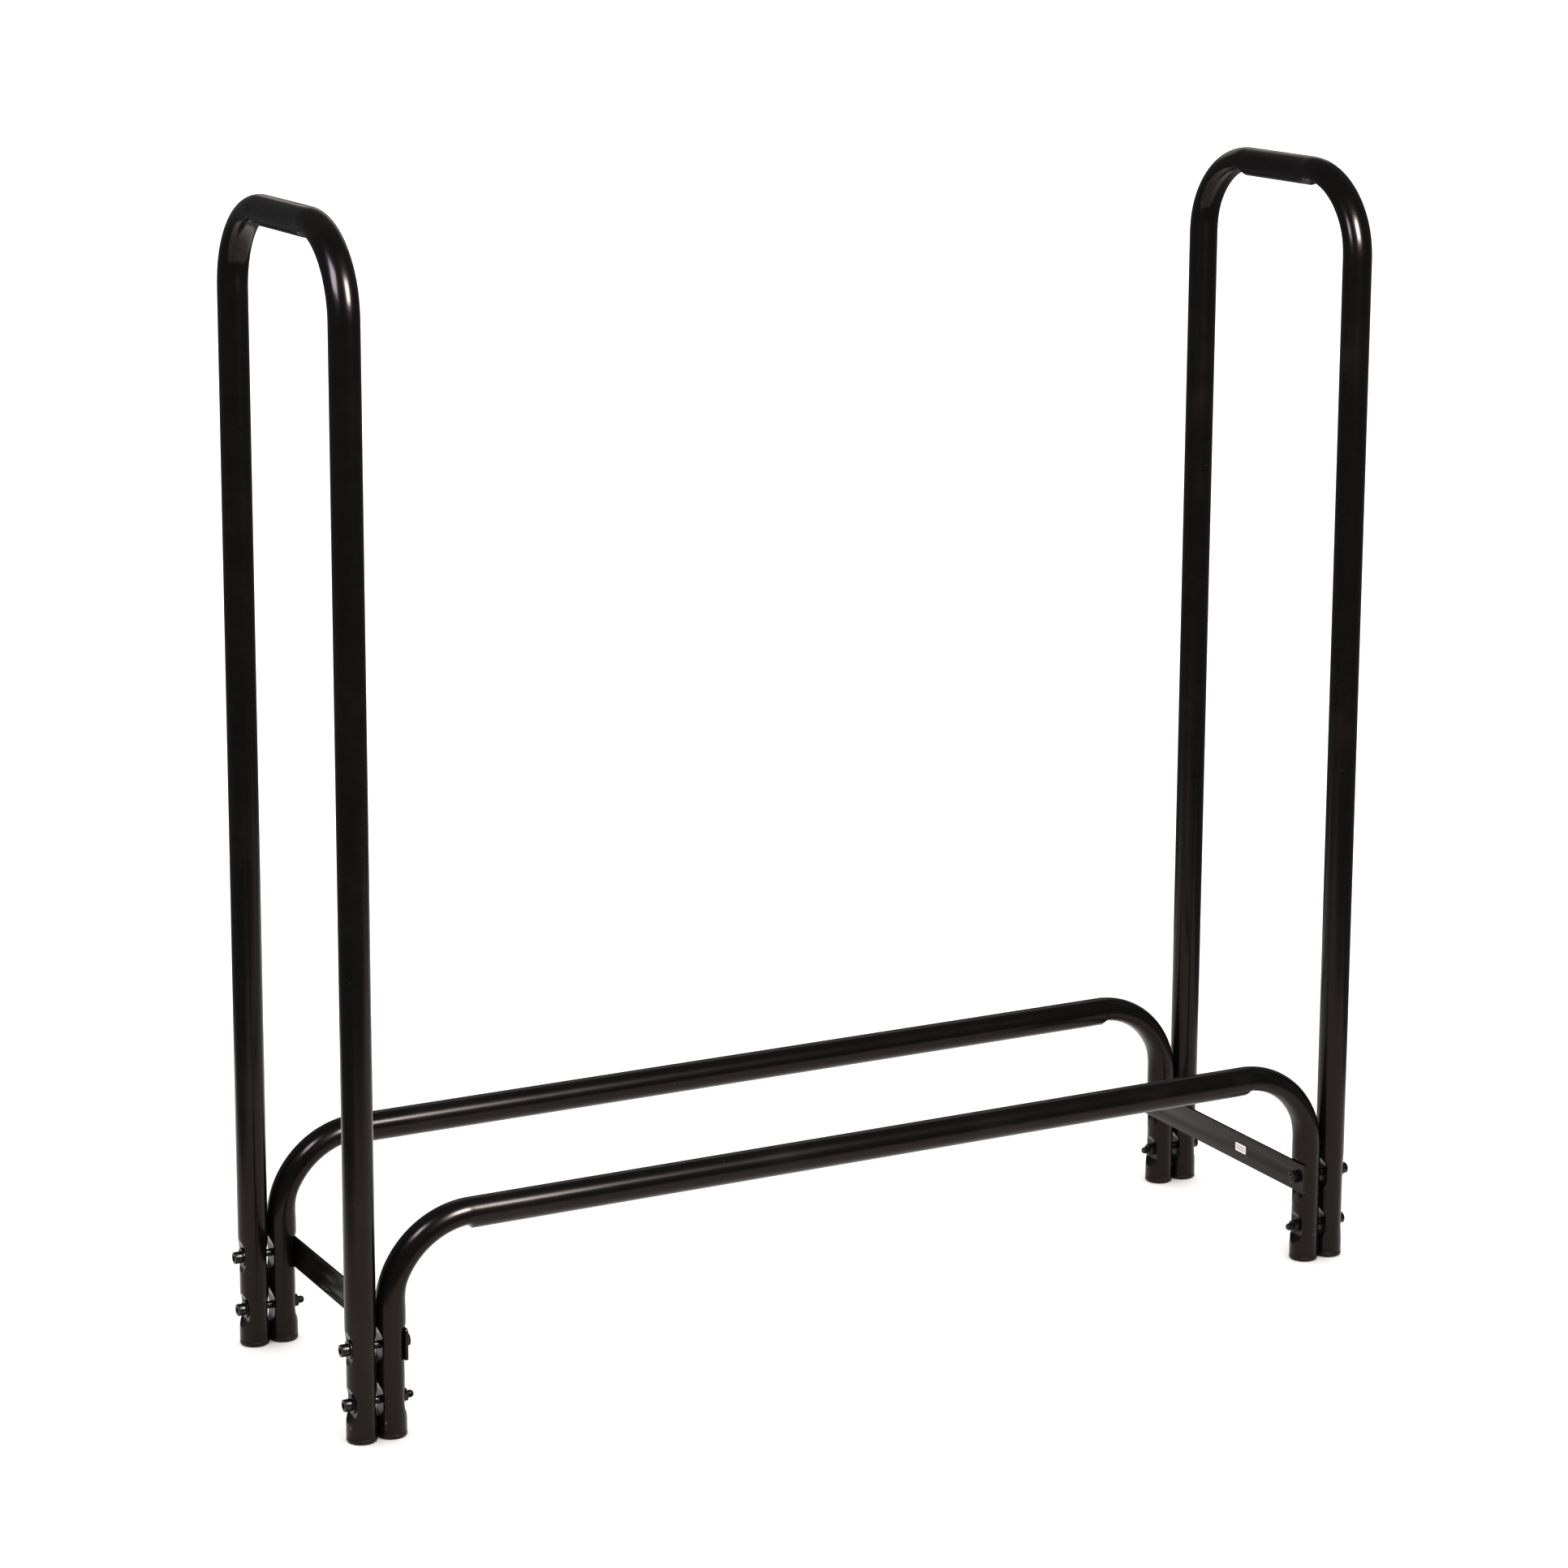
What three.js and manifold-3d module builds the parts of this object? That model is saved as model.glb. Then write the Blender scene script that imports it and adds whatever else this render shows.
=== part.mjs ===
// Firewood log rack: two upright hoops bolted to two base rails.
// Millimetres, +Z up, length along X, front at -Y.
// The origin is on the floor under the middle of the rack.

import * as THREE from 'three';
import { mergeVertices } from 'three/addons/utils/BufferGeometryUtils.js';
import Module from 'manifold-3d';

// The frame, measured over the outside of its tubes.
const FRAME_LENGTH = 1220;
const FRAME_DEPTH = 332;
const HOOP_HEIGHT = 1244.5;
const RAIL_HEIGHT = 238.5;

// The steel tube, the same for hoops and rails.
const TUBE_DIAMETER = 32;
const TUBE_WALL = 1.2;
const BEND_RADIUS = 90; // of the centreline
const BEND_FLATTENING = 5; // how far the inside of a bend is pressed in
const LEG_GAP = 0.5; // between a hoop leg and the rail leg beside it

// Depths of the dimples pressed around the bolt holes, on both faces of a leg. Washers lie in a
// hoop's outer ones, and the brace and the lower nuts in a rail's inner ones.
const DIMPLE_DEPTHS = {
  hoop: { outer: { upper: 4, lower: 6.5 }, inner: { upper: 5, lower: 5 } },
  rail: { outer: { upper: 3.6, lower: 3.6 }, inner: { upper: 6.2, lower: 6.2 } },
};
const DIMPLE_LENGTH = 43;
const DIMPLE_FLAT = 36; // height of its level floor

// Hardware. A bolt's length is measured under its head.
const BOLT_HEIGHTS = { upper: 99, lower: 40 };
const BOLT_DIAMETER = 8;
const BOLT_LENGTH = 68;
const BOLT_TIP = 1.6; // height of the rounded end
const HEAD_DIAMETER = 13;
const HEAD_HEIGHT = 8;
const HEAD_CHAMFER = 0.8;
const SOCKET_WIDTH = 6; // across flats
const SOCKET_DEPTH = 4;
const WASHER_DIAMETER = 19;
const WASHER_THICKNESS = 1.6;
const NUT_WIDTH = 13; // across flats
const NUT_HEIGHT = 6.5;
const CLEARANCE_HOLE = 9; // in tubes and braces
const CLOSE_HOLE = 8.6; // in washers and nuts

// Flat bar that ties the two rail legs together, as long as the frame is deep.
const BRACE_HEIGHT = 34;
const BRACE_THICKNESS = 3;
const BRACE_CORNER = 3;

// Plastic cap pushed into the foot of each leg.
const CAP_RIM = 5;
const CAP_ROUND = 2;
const CAP_FLOOR = 2.5;
const PLUG_LENGTH = 12;
const PLUG_WALL = 1.8;
const PLUG_TAPER = 0.6;

// Information label on the inner face of the right brace.
const LABEL_LENGTH = 20.5;
const LABEL_HEIGHT = 9.6;
const LABEL_THICKNESS = 0.3;
const LABEL_Y = -40;

const FIT_GAP = 0.3; // between neighbouring pieces that touch
const TUBE_SIDES = 16;
const BEND_STEPS = 7;
const ROUND_SIDES = 16; // on hardware, caps and holes

const TUBE_RADIUS = TUBE_DIAMETER / 2;
const HOOP_X = (FRAME_LENGTH - TUBE_DIAMETER) / 2;
const RAIL_LEG_X = HOOP_X - TUBE_DIAMETER - LEG_GAP;
const LEG_Y = (FRAME_DEPTH - TUBE_DIAMETER) / 2;
// From a rail leg's axis to the outer face of the bar, which lies in the upper dimple.
const BRACE_FACE = TUBE_RADIUS - DIMPLE_DEPTHS.rail.inner.upper + FIT_GAP;
const TUBE_START = CAP_RIM + FIT_GAP;

const SIDES = { left: -1, right: 1 };
const DEPTHS = { front: -1, rear: 1 };

const FINISHES = {
  frame: { color: 0x17130f, roughness: 0.34, metalness: 0.0 },
  hardware: { color: 0x1b1a1a, roughness: 0.38, metalness: 0.6 },
  cap: { color: 0x141212, roughness: 0.55, metalness: 0.0 },
  label: { color: 0xd9cfc9, roughness: 0.6, metalness: 0.0 },
};

const wasm = await Module();
wasm.setup();

function toSolid(geometry) {
  const bare = geometry.clone();
  bare.deleteAttribute('normal');
  bare.deleteAttribute('uv');
  const merged = mergeVertices(bare, 1e-4);
  return new wasm.Manifold(new wasm.Mesh({
    numProp: 3,
    vertProperties: new Float32Array(merged.attributes.position.array),
    triVerts: new Uint32Array(merged.index.array),
  }));
}

function toGeometry(solid) {
  const { vertProperties, triVerts } = solid.getMesh();
  const geometry = new THREE.BufferGeometry();
  geometry.setAttribute('position', new THREE.BufferAttribute(vertProperties, 3));
  geometry.setIndex(new THREE.BufferAttribute(triVerts, 1));
  geometry.computeVertexNormals();
  return geometry;
}

// A path that is walked through the given stations, however far apart they are.
class StationPath extends THREE.Curve {
  constructor(stations) {
    super();
    this.stations = stations;
  }

  station(t) {
    return this.stations[Math.round(t * (this.stations.length - 1))];
  }

  getPoint(t) {
    return this.station(t).point.clone();
  }

  getPointAt(u) {
    return this.getPoint(u);
  }

  getTangentAt(u) {
    return this.station(u).tangent.clone();
  }
}

// Heights of the rings on one leg, closer together where the dimples are.
function legHeights() {
  const end = DIMPLE_LENGTH / 2;
  const level = DIMPLE_FLAT / 2;
  const offsets = [-end, -level, 0, level, end];
  const dimples = [BOLT_HEIGHTS.lower, BOLT_HEIGHTS.upper];
  return [TUBE_START, ...dimples.flatMap((height) => offsets.map((step) => height + step))];
}

// Stations of an inverted U in the plane of `across` and Z, starting at its negative foot.
function bentStations(halfSpan, topHeight, across) {
  const corner = halfSpan - BEND_RADIUS;
  const bendHeight = topHeight - BEND_RADIUS;
  const place = (side, height, tangentSide, tangentUp) => ({
    point: across.clone().multiplyScalar(side).setZ(height),
    tangent: across.clone().multiplyScalar(tangentSide).setZ(tangentUp).normalize(),
  });
  const rising = legHeights().map((height) => place(-halfSpan, height, 0, 1));
  for (let step = 0; step <= BEND_STEPS; step += 1) {
    const angle = (Math.PI / 2) * (step / BEND_STEPS);
    const side = -corner - BEND_RADIUS * Math.cos(angle);
    const height = bendHeight + BEND_RADIUS * Math.sin(angle);
    rising.push(place(side, height, Math.sin(angle), Math.cos(angle)));
  }
  const falling = rising.map(({ point, tangent }) => (
    place(-point.dot(across), point.z, tangent.dot(across), -tangent.z)
  ));
  return [...rising, ...falling.reverse()];
}

// Depth of a dimple at a height above or below its bolt.
function dimpleDepth(rise, deepest) {
  const slope = (DIMPLE_LENGTH / 2 - rise) / ((DIMPLE_LENGTH - DIMPLE_FLAT) / 2);
  return deepest * THREE.MathUtils.smoothstep(slope, 0, 1);
}

// Presses the dimples along X into the legs and flattens the inside of the bends.
function pressTube(geometry, halfSpan, topHeight, across, depths) {
  const corner = halfSpan - BEND_RADIUS;
  const bendHeight = topHeight - BEND_RADIUS;
  const along = new THREE.Vector3().crossVectors(across, new THREE.Vector3(0, 0, 1));
  const vertices = geometry.attributes.position;
  const vertex = new THREE.Vector3();
  for (let index = 0; index < vertices.count; index += 1) {
    vertex.fromBufferAttribute(vertices, index);
    const side = Math.sign(vertex.dot(across));
    const inBend = vertex.z > bendHeight + 1 && Math.abs(vertex.dot(across)) > corner + 1;
    const centre = across.clone().multiplyScalar(side * (inBend ? corner : halfSpan));
    centre.z = inBend ? bendHeight : vertex.z;
    const offset = vertex.clone().sub(centre);
    if (inBend) {
      const reach = Math.hypot(offset.dot(across), offset.z);
      const skin = Math.hypot(reach - BEND_RADIUS, offset.dot(along));
      const wall = skin < TUBE_RADIUS - TUBE_WALL / 2 ? TUBE_WALL : 0;
      const least = BEND_RADIUS - TUBE_RADIUS + BEND_FLATTENING + wall;
      const scale = Math.max(reach, least) / reach;
      vertex.addScaledVector(across, offset.dot(across) * (scale - 1));
      vertex.z += offset.z * (scale - 1);
    } else if (vertex.z < bendHeight) {
      const wall = Math.hypot(offset.x, offset.y) < TUBE_RADIUS - TUBE_WALL / 2 ? TUBE_WALL : 0;
      const outward = across.x === 0 ? offset.x : offset.x * side;
      const face = outward > 0 ? depths.outer : depths.inner;
      for (const [level, height] of Object.entries(BOLT_HEIGHTS)) {
        const depth = dimpleDepth(Math.abs(vertex.z - height), face[level]);
        const most = TUBE_RADIUS - depth - wall;
        if (depth > 0 && Math.abs(offset.x) > most) {
          vertex.x = centre.x + Math.sign(offset.x) * most;
        }
      }
    }
    vertices.setXYZ(index, vertex.x, vertex.y, vertex.z);
  }
}

// One tube bent into an inverted U, with its dimples and bolt holes. A hoop, across Y, is made
// with its outer face at positive X.
function bentTube(halfSpan, topOfTube, across, depths) {
  const topHeight = topOfTube - TUBE_RADIUS;
  const section = new THREE.Shape().absarc(0, 0, TUBE_RADIUS, 0, Math.PI * 2);
  section.holes.push(new THREE.Path().absarc(0, 0, TUBE_RADIUS - TUBE_WALL, 0, Math.PI * 2));
  const stations = bentStations(halfSpan, topHeight, across);
  const tube = new THREE.ExtrudeGeometry(section, {
    extrudePath: new StationPath(stations),
    steps: stations.length - 1,
    curveSegments: TUBE_SIDES / 2,
  });
  pressTube(tube, halfSpan, topHeight, across, depths);
  let solid = toSolid(tube);
  for (const side of [-1, 1]) {
    for (const height of Object.values(BOLT_HEIGHTS)) {
      const hole = new THREE.CylinderGeometry(
        CLEARANCE_HOLE / 2,
        CLEARANCE_HOLE / 2,
        TUBE_DIAMETER + 2,
        ROUND_SIDES,
      );
      hole.rotateZ(Math.PI / 2);
      hole.translate(across.x * side * halfSpan, across.y * side * halfSpan, height);
      solid = solid.subtract(toSolid(hole));
    }
  }
  return toGeometry(solid);
}

function brace() {
  const halfLength = FRAME_DEPTH / 2;
  const halfHeight = BRACE_HEIGHT / 2;
  const straightY = halfLength - BRACE_CORNER;
  const straightZ = halfHeight - BRACE_CORNER;
  const outline = new THREE.Shape();
  outline.moveTo(-straightY, -halfHeight);
  outline.lineTo(straightY, -halfHeight);
  outline.absarc(straightY, -straightZ, BRACE_CORNER, -Math.PI / 2, 0);
  outline.absarc(straightY, straightZ, BRACE_CORNER, 0, Math.PI / 2);
  outline.absarc(-straightY, straightZ, BRACE_CORNER, Math.PI / 2, Math.PI);
  outline.absarc(-straightY, -straightZ, BRACE_CORNER, Math.PI, Math.PI * 1.5);
  for (const y of [-LEG_Y, LEG_Y]) {
    outline.holes.push(new THREE.Path().absarc(y, 0, CLEARANCE_HOLE / 2, 0, Math.PI * 2));
  }
  const bar = new THREE.ExtrudeGeometry(outline, {
    depth: BRACE_THICKNESS,
    bevelEnabled: false,
    curveSegments: ROUND_SIDES / 4,
  });
  // The outline is drawn in X and Y, so it is stood up across the rack.
  bar.rotateX(Math.PI / 2);
  bar.rotateZ(Math.PI / 2);
  return bar;
}

function lathe(profile) {
  const points = profile.map(([radius, height]) => new THREE.Vector2(radius, height));
  return new THREE.LatheGeometry(points, ROUND_SIDES);
}

// Socket-head bolt along Y, with the underside of its head at zero.
function bolt() {
  const shank = BOLT_DIAMETER / 2;
  const head = HEAD_DIAMETER / 2;
  const body = lathe([
    [0, -BOLT_LENGTH],
    [shank - BOLT_TIP, -BOLT_LENGTH],
    [shank - BOLT_TIP * 0.3, -BOLT_LENGTH + BOLT_TIP * 0.4],
    [shank, -BOLT_LENGTH + BOLT_TIP],
    [shank, 0],
    [head, 0],
    [head, HEAD_HEIGHT - HEAD_CHAMFER],
    [head - HEAD_CHAMFER, HEAD_HEIGHT],
    [0, HEAD_HEIGHT],
  ]);
  const socketRadius = SOCKET_WIDTH / Math.sqrt(3);
  const socket = new THREE.CylinderGeometry(socketRadius, socketRadius, SOCKET_DEPTH * 2, 6);
  socket.translate(0, HEAD_HEIGHT, 0);
  return toGeometry(toSolid(body).subtract(toSolid(socket)));
}

// Washer around Y, from zero outwards.
function washer() {
  const inner = CLOSE_HOLE / 2;
  const outer = WASHER_DIAMETER / 2;
  return lathe([
    [inner, 0],
    [outer, 0],
    [outer, WASHER_THICKNESS],
    [inner, WASHER_THICKNESS],
    [inner, 0],
  ]);
}

// Hexagon nut around Y, from zero inwards, with both ends chamfered.
function nut() {
  const corner = NUT_WIDTH / Math.sqrt(3);
  const flat = NUT_WIDTH / 2;
  const chamfer = (corner - flat) / Math.sqrt(3);
  const prism = new THREE.CylinderGeometry(corner, corner, NUT_HEIGHT, 6);
  prism.translate(0, -NUT_HEIGHT / 2, 0);
  const turned = lathe([
    [CLOSE_HOLE / 2, -NUT_HEIGHT],
    [flat, -NUT_HEIGHT],
    [corner, -NUT_HEIGHT + chamfer],
    [corner, -chamfer],
    [flat, 0],
    [CLOSE_HOLE / 2, 0],
    [CLOSE_HOLE / 2, -NUT_HEIGHT],
  ]);
  return toGeometry(toSolid(prism).intersect(toSolid(turned)));
}

// Foot cap around Y, standing on zero: a rim as wide as the tube and a hollow plug inside it.
function footCap() {
  const plug = TUBE_RADIUS - TUBE_WALL - FIT_GAP;
  const inner = plug - PLUG_WALL;
  const diagonal = CAP_ROUND * (1 - Math.SQRT1_2);
  return lathe([
    [0, 0],
    [TUBE_RADIUS - CAP_ROUND, 0],
    [TUBE_RADIUS - diagonal, diagonal],
    [TUBE_RADIUS, CAP_ROUND],
    [TUBE_RADIUS, CAP_RIM],
    [plug, CAP_RIM],
    [plug - PLUG_TAPER, CAP_RIM + PLUG_LENGTH],
    [inner - PLUG_TAPER, CAP_RIM + PLUG_LENGTH],
    [inner - PLUG_TAPER, CAP_FLOOR],
    [0, CAP_FLOOR],
  ]);
}

const rack = new THREE.Group();
rack.name = 'firewood_log_rack';

function addPiece(name, geometry, finish) {
  const piece = new THREE.Mesh(geometry, new THREE.MeshStandardMaterial(FINISHES[finish]));
  piece.name = name;
  rack.add(piece);
  return piece;
}

const ACROSS_Y = new THREE.Vector3(0, 1, 0);
const ACROSS_X = new THREE.Vector3(1, 0, 0);

for (const [side, sign] of Object.entries(SIDES)) {
  const tube = bentTube(LEG_Y, HOOP_HEIGHT, ACROSS_Y, DIMPLE_DEPTHS.hoop);
  const hoop = addPiece(`${side}_hoop`, tube, 'frame');
  hoop.position.x = sign * HOOP_X;
  hoop.rotation.z = sign > 0 ? 0 : Math.PI;
}

for (const [depth, sign] of Object.entries(DEPTHS)) {
  const tube = bentTube(RAIL_LEG_X, RAIL_HEIGHT, ACROSS_X, DIMPLE_DEPTHS.rail);
  const rail = addPiece(`${depth}_rail`, tube, 'frame');
  rail.position.y = sign * LEG_Y;
}

for (const [side, sign] of Object.entries(SIDES)) {
  const bar = addPiece(`${side}_brace`, brace(), 'frame');
  bar.position.set(sign * (RAIL_LEG_X - BRACE_FACE), 0, BOLT_HEIGHTS.upper);
  bar.rotation.z = sign > 0 ? Math.PI : 0;
}

// Hardware geometry points outwards along +Y and is turned to point outwards along X.
function addFastener(name, geometry, sign, x, y, z) {
  const fastener = addPiece(name, geometry, 'hardware');
  fastener.rotation.z = sign > 0 ? -Math.PI / 2 : Math.PI / 2;
  fastener.position.set(sign * x, y, z);
}

function washerPlace(level) {
  return HOOP_X + TUBE_RADIUS - DIMPLE_DEPTHS.hoop.outer[level] + FIT_GAP;
}

const braceInnerFace = RAIL_LEG_X - BRACE_FACE - BRACE_THICKNESS;
const nutX = {
  lower: RAIL_LEG_X - TUBE_RADIUS + DIMPLE_DEPTHS.rail.inner.lower - FIT_GAP,
  upper: braceInnerFace - FIT_GAP,
};

for (const [side, sideSign] of Object.entries(SIDES)) {
  for (const [depth, depthSign] of Object.entries(DEPTHS)) {
    const y = depthSign * LEG_Y;
    for (const [level, height] of Object.entries(BOLT_HEIGHTS)) {
      const place = `${side}_${depth}_${level}`;
      const washerX = washerPlace(level);
      const headX = washerX + WASHER_THICKNESS + FIT_GAP;
      addFastener(`${place}_bolt`, bolt(), sideSign, headX, y, height);
      addFastener(`${place}_washer`, washer(), sideSign, washerX, y, height);
      addFastener(`${place}_nut`, nut(), sideSign, nutX[level], y, height);
    }
    for (const [tube, legX] of [['hoop', HOOP_X], ['rail', RAIL_LEG_X]]) {
      const cap = addPiece(`${side}_${depth}_${tube}_foot_cap`, footCap(), 'cap');
      cap.rotation.x = Math.PI / 2;
      cap.position.set(sideSign * legX, y, 0);
    }
  }
}

const label = addPiece(
  'brace_label',
  new THREE.BoxGeometry(LABEL_THICKNESS, LABEL_LENGTH, LABEL_HEIGHT),
  'label',
);
const labelX = braceInnerFace - FIT_GAP - LABEL_THICKNESS / 2;
label.position.set(labelX, LABEL_Y, BOLT_HEIGHTS.upper);

export default rack;
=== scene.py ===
import math

import bmesh
import bpy
from bpy.props import FloatProperty, FloatVectorProperty, PointerProperty
from mathutils import Matrix, Vector


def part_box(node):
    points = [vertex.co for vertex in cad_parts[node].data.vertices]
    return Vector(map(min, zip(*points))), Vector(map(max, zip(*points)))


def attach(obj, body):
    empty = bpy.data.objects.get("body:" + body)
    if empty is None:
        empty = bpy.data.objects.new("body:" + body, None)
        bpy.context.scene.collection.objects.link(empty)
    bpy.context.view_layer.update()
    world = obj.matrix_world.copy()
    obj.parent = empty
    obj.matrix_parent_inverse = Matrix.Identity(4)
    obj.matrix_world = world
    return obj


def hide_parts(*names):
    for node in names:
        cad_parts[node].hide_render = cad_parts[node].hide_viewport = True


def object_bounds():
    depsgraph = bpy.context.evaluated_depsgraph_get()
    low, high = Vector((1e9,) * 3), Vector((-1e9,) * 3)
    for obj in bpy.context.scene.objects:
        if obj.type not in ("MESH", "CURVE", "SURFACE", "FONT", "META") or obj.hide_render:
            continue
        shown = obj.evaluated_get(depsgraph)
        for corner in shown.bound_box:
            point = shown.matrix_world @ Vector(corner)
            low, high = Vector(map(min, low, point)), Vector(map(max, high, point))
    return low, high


bl_info = {
    "name": "Firewood Log Rack",
    "version": (1, 0, 0),
    "blender": (4, 5, 0),
    "location": "3D View > Sidebar > Log Rack",
    "description": "Builds the bent tubes, bolted feet, braces and caps of a firewood log rack",
    "category": "Add Mesh",
}

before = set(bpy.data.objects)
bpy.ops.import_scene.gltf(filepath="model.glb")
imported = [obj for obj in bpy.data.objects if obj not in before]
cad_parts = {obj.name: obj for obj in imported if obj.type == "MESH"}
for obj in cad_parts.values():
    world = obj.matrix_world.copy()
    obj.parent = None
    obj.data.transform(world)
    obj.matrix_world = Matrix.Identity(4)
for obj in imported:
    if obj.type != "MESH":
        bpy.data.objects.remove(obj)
CAD_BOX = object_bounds()

MM = 0.001
LEFT, RIGHT, FRONT, REAR = "left", "right", "front", "rear"
CORNERS = [(side, end) for side in (LEFT, RIGHT) for end in (FRONT, REAR)]
RING_SIDES = 96
BEND_STEPS = 36

# The camera: lens in millimetres, shift as a share of the frame, place in metres, turn in degrees.
CAMERA_LENS = 96.067
CAMERA_SENSOR = 36.0
CAMERA_SHIFT = (0.02511, -0.12017)
CAMERA_PLACE = (-2.10427, -3.86689, 1.66872)
CAMERA_TURN = (78.7426, -0.1451, -27.5998)
FLOOR_REACH = 1.2  # metres from the middle of the floor to its edges

# The lamps: name, place and size in metres, power in watts, colour.
LAMPS = (
    ("key_lamp", (0.13, -1.77, 2.05), (0.8, 0.8), 310, "#e6f2f4"),
    ("second_lamp", (-1.4, -0.5, 1.7), (0.5, 0.5), 40, "#dfe9ff"),
    ("back_lamp", (1.3, 2.6, 2.3), (2.6, 0.8), 6, "#fff4ee"),
)


# ---------------------------------------------------------------- sizes and colours

def linear_colour(text):
    """An sRGB hex colour as linear red, green, blue and alpha."""
    parts = [int(text[i:i + 2], 16) / 255 for i in (1, 3, 5)]
    return tuple(c / 12.92 if c <= 0.04045 else ((c + 0.055) / 1.055) ** 2.4 for c in parts) + (1.0,)


def size_of(node):
    low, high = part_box(node)
    return high - low


def middle_of(node):
    low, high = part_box(node)
    return (low + high) / 2


def length_property(name, description, default):
    return FloatProperty(name=name, description=description, default=default, min=0.0,
                         unit="LENGTH", subtype="DISTANCE", precision=5)


def colour_property(name, description, default):
    return FloatVectorProperty(name=name, description=description, default=linear_colour(default),
                               size=4, min=0.0, max=1.0, subtype="COLOR")


class RackSizes(bpy.types.PropertyGroup):
    tube_diameter: length_property("Tube diameter", "Outside diameter of the bent steel tube",
                                   size_of("left_hoop").x)
    tube_wall: length_property("Tube wall", "Wall thickness of the tube", 1.2 * MM)
    bend_radius: length_property("Bend radius", "Centreline radius of every bend", 90 * MM)
    bend_squash: length_property("Bend squash", "How far the inside of a bend is pressed in", 5.2 * MM)
    bend_widening: FloatProperty(name="Bend widening", description="Sideways swell in a bend",
                                 default=0.03, min=0.0, subtype="FACTOR")
    hoop_dimple: length_property("Hoop dimple", "Depth of a hoop's dimples where it faces a rail leg",
                                 5 * MM)
    rail_dimple: length_property("Rail dimple", "Depth of a rail's dimples where it faces a hoop leg",
                                 3.6 * MM)
    dimple_height: length_property("Dimple height", "Height of an oval dimple, rim to rim", 43 * MM)
    dimple_slope: length_property("Dimple slope", "Width of the sloping wall of a dimple", 12 * MM)
    brace_slope: length_property("Brace dimple slope", "Width of that wall where a brace lies in it",
                                 3.5 * MM)
    hoop_press: length_property("Hoop leg press", "How far a hoop leg is pressed in on its outer side",
                                1.2 * MM)
    rail_press: length_property("Rail leg press", "How far a rail leg is pressed in on its inner side",
                                2.2 * MM)
    hole_diameter: length_property("Bolt hole", "Hole through tubes and braces", 9 * MM)
    bolt_diameter: length_property("Bolt diameter", "Nominal thread diameter", 8 * MM)
    thread_pitch: length_property("Thread pitch", "Distance between thread crests", 1.25 * MM)
    head_diameter: length_property("Head diameter", "Diameter of the socket head", 13 * MM)
    head_height: length_property("Head height", "Height of the socket head", 8 * MM)
    socket_width: length_property("Socket width", "Hexagon socket across its flats", 6 * MM)
    socket_depth: length_property("Socket depth", "Depth of the hexagon socket", 4 * MM)
    nut_width: length_property("Nut width", "Hexagon nut across its flats", 13 * MM)
    cap_rim: length_property("Cap rim", "Height of the foot cap below the tube", 5 * MM)
    cap_round: length_property("Cap rounding", "Radius of the foot cap's lower edge", 2 * MM)
    brace_corner: length_property("Brace corner", "Corner radius of the flat bar", 3 * MM)


class RackColours(bpy.types.PropertyGroup):
    powder_coat: colour_property("Powder coat", "Black coat of tubes and braces", "#0a0909")
    coat_dust: colour_property("Dust", "Dust and handling marks on the coat", "#8c8378")
    hardware: colour_property("Hardware", "Blackened steel of bolts, washers and nuts", "#1f1b19")
    hardware_worn: colour_property("Worn steel", "Steel where the blackening has rubbed off", "#544e49")
    foot_cap: colour_property("Foot cap", "Moulded black plastic of the foot caps", "#0b0a09")
    label_face: colour_property("Label", "White face of the label", "#e9e1dd")
    label_ink: colour_property("Label ink", "Dark print of the label", "#35302d")
    floor: colour_property("Floor", "Pale studio floor", "#f8f4f1")


def sizes():
    return bpy.context.scene.rack_sizes


def colours():
    return bpy.context.scene.rack_colours


# ---------------------------------------------------------------- mesh helpers

def smoothstep(x):
    x = min(max(x, 0.0), 1.0)
    return x * x * (3 - 2 * x)


def pull(bm, edges, move):
    """Extrudes an open loop of edges along a vector, and gives the new loop."""
    made = bmesh.ops.extrude_edge_only(bm, edges=edges)["geom"]
    verts = [v for v in made if isinstance(v, bmesh.types.BMVert)]
    bmesh.ops.translate(bm, vec=move, verts=verts)
    return [e for e in made if isinstance(e, bmesh.types.BMEdge)]


def turn(bm, edges, centre, axis, angle):
    """Turns an open loop of edges one step about an axis, and gives the new loop."""
    geom = list({v for e in edges for v in e.verts}) + list(edges)
    made = bmesh.ops.spin(bm, geom=geom, cent=centre, axis=axis, angle=angle, steps=1,
                          use_merge=False, use_duplicate=False)["geom_last"]
    return [g for g in made if isinstance(g, bmesh.types.BMEdge)]


def rotate(bm, verts, angle, axis):
    """Turns vertices about an axis through the origin."""
    bmesh.ops.rotate(bm, cent=(0, 0, 0), matrix=Matrix.Rotation(angle, 3, axis), verts=verts)


def bevel(bm, edges, offset, segments):
    bmesh.ops.bevel(bm, geom=edges, offset=offset, offset_type="OFFSET", affect="EDGES",
                    segments=segments, profile=0.5, material=-1)


def sharp_edges(bm, degrees):
    """The edges whose two faces meet at more than that angle."""
    least = math.radians(degrees)
    return [e for e in bm.edges if len(e.link_faces) == 2 and e.calc_face_angle(0) > least]


def rounded_plate(size, corner, segments):
    """An upright plate, thin along X, with its four corners rounded."""
    bm = bmesh.new()
    bmesh.ops.create_cube(bm, size=1.0, matrix=Matrix.Diagonal((*size, 1)))
    through = [e for e in bm.edges if abs(e.verts[0].co.x - e.verts[1].co.x) > 0.5 * size.x]
    bevel(bm, through, corner, segments)
    return bm


def closed(bm):
    """Merges doubles and points the faces of a closed shell outwards."""
    bmesh.ops.remove_doubles(bm, verts=bm.verts, dist=1e-6)
    bmesh.ops.recalc_face_normals(bm, faces=bm.faces)


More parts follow.
